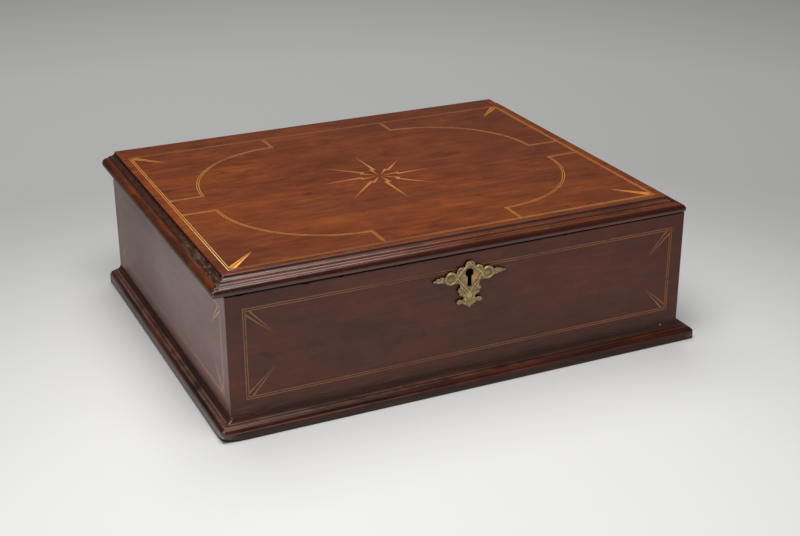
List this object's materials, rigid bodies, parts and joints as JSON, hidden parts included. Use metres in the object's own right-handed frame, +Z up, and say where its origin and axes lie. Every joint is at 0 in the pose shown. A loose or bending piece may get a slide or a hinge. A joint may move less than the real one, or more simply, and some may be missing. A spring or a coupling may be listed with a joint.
{
  "type": "letter writing box with drawer",
  "caption": "Table-top letter box with a moulded hinged lid, moulded base, box lock with brass escutcheon, light stringing and a long drawer in its right end.",
  "frame": {"origin": "on the ground, under the middle of the whole box's outline", "axes": "+X to the right end, where the drawer comes out, +Y to the back, where the hinges are, +Z up"},
  "size_m": [0.453, 0.3625, 0.1357],
  "materials": {
    "case_wood": "dark purple-brown mahogany, satin, worn polish",
    "lid_wood": "warm orange-brown mahogany, satin, fine grain across the width",
    "moulding_wood": "red-brown mahogany, polished, worn along its edges",
    "secondary_wood": "unpolished pale secondary wood",
    "inlay_wood": "light yellow-brown stringing, polished with the face",
    "brass": "dull cast brass with dark patina in its hollows",
    "iron": "dark aged iron and steel"
  },
  "bodies": {
    "case": {"front_board": "case_wood", "back_board": "case_wood", "left_side": "case_wood", "right_side": "case_wood", "base_moulding_front": "moulding_wood", "base_moulding_left": "moulding_wood", "base_moulding_right": "moulding_wood", "bottom_board": "secondary_wood", "dust_board": "secondary_wood", "corner_splines": "secondary_wood", "till_partition": "secondary_wood", "till_cross_partition": "secondary_wood", "drawer_runner_front": "secondary_wood", "drawer_runner_back": "secondary_wood", "drawer_guide_front": "secondary_wood", "drawer_guide_back": "secondary_wood", "drawer_stops": "secondary_wood", "front_border": "inlay_wood", "front_darts": "inlay_wood", "left_border": "inlay_wood", "left_darts": "inlay_wood", "right_border": "inlay_wood", "right_darts": "inlay_wood", "escutcheon": "brass", "escutcheon_pins": "brass", "hinge_case_leaves": "brass", "hinge_pins": "brass", "lock_case": "iron", "lock_cap": "iron", "lock_key_pin": "iron", "lock_bolt_spring": "iron", "lock_screws": "iron", "hinge_case_screws": "iron", "base_nails": "iron"},
    "lid": {"lid_board": "lid_wood", "lid_moulding_front": "moulding_wood", "lid_moulding_left": "moulding_wood", "lid_moulding_right": "moulding_wood", "lid_border": "inlay_wood", "lid_scallops": "inlay_wood", "lid_star": "inlay_wood", "lid_darts": "inlay_wood", "link_plate": "brass", "link_plate_screws": "iron", "hinge_lid_leaves": "brass", "hinge_lid_screws": "iron"},
    "drawer": {"drawer_front": "case_wood", "drawer_side_near": "secondary_wood", "drawer_side_far": "secondary_wood", "drawer_back": "secondary_wood", "drawer_bottom": "secondary_wood", "drawer_partition": "secondary_wood", "drawer_border": "inlay_wood", "drawer_knob": "brass", "drawer_knob_nut": "brass"},
    "lock_bolt_body": {"lock_bolt": "iron"},
    "locking_pin": {"drawer_locking_pin": "brass"}
  },
  "joints": [
    {"name": "lid_hinge", "type": "hinge", "parent": "case", "child": "lid", "pos_m": [0, 0.17895, 0.1225], "axis": [-1, 0, 0], "range_deg": [0, 100]},
    {"name": "drawer_slide", "type": "slide", "parent": "case", "child": "drawer", "axis": [1, 0, 0], "range_m": [0, 0.26]},
    {"name": "bolt_slide", "type": "slide", "parent": "case", "child": "lock_bolt_body", "axis": [1, 0, 0], "range_m": [0, 0.005]},
    {"name": "locking_pin_slide", "type": "slide", "parent": "case", "child": "locking_pin", "axis": [0, 0, -1], "range_m": [0, 0.012]}
  ]
}
